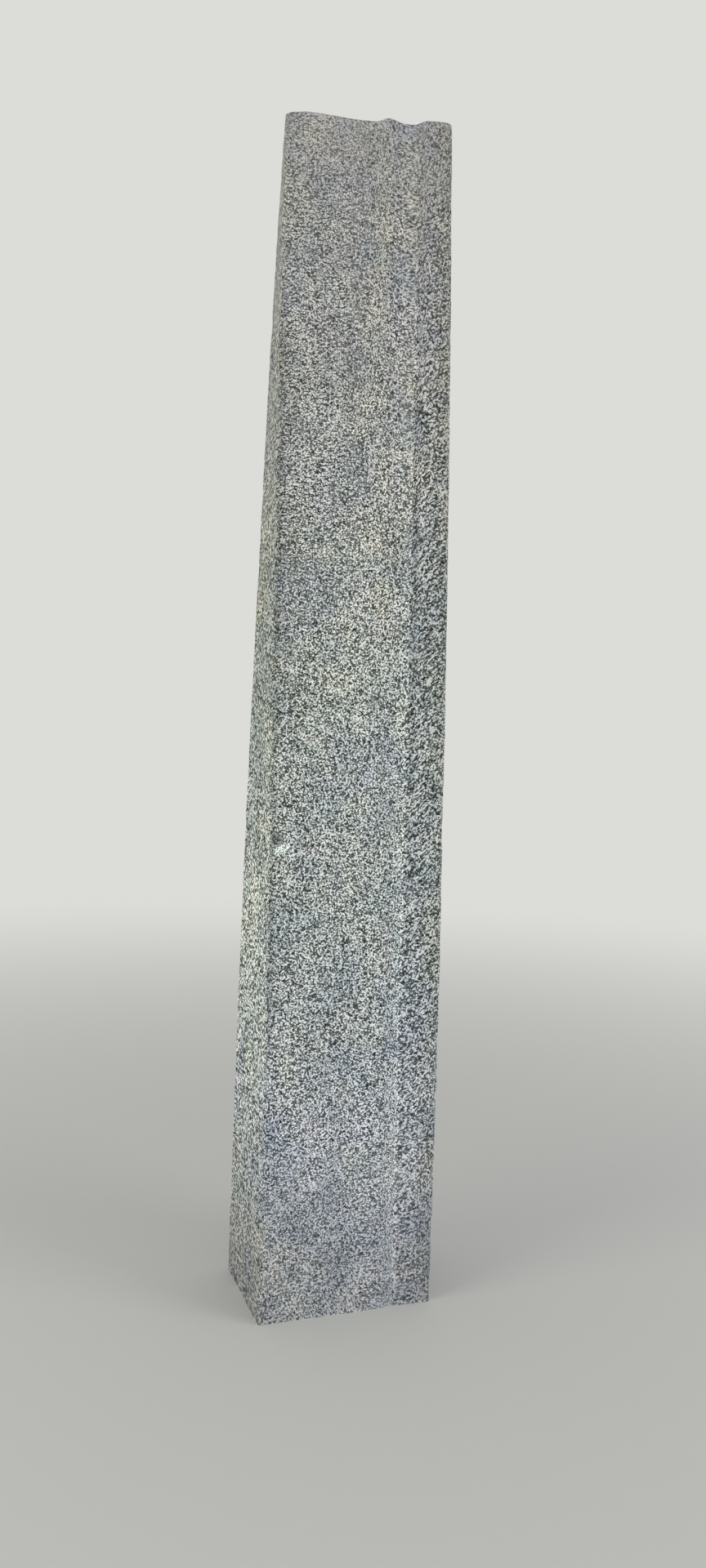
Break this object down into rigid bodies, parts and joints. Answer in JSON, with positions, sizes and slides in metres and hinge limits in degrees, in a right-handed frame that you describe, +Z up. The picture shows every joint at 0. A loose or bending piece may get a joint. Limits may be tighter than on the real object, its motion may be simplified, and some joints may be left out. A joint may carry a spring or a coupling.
{
  "type": "fluted granite obelisk",
  "caption": "Free-standing tapering granite shaft with a flat top, a slight turn as it rises, and flutes on its front that fade toward the foot.",
  "frame": {"origin": "centre of the shaft's foot, at ground level", "axes": "+Z up the shaft; the fluted front of the foot faces -Y, and +X is to its right seen from the front"},
  "size_m": [0.4798, 0.3868, 3],
  "materials": {
    "granite": "grey granite, pointed and bush-hammered, matt and rough"
  },
  "bodies": {
    "root": {"granite_shaft": "granite"}
  },
  "joints": []
}
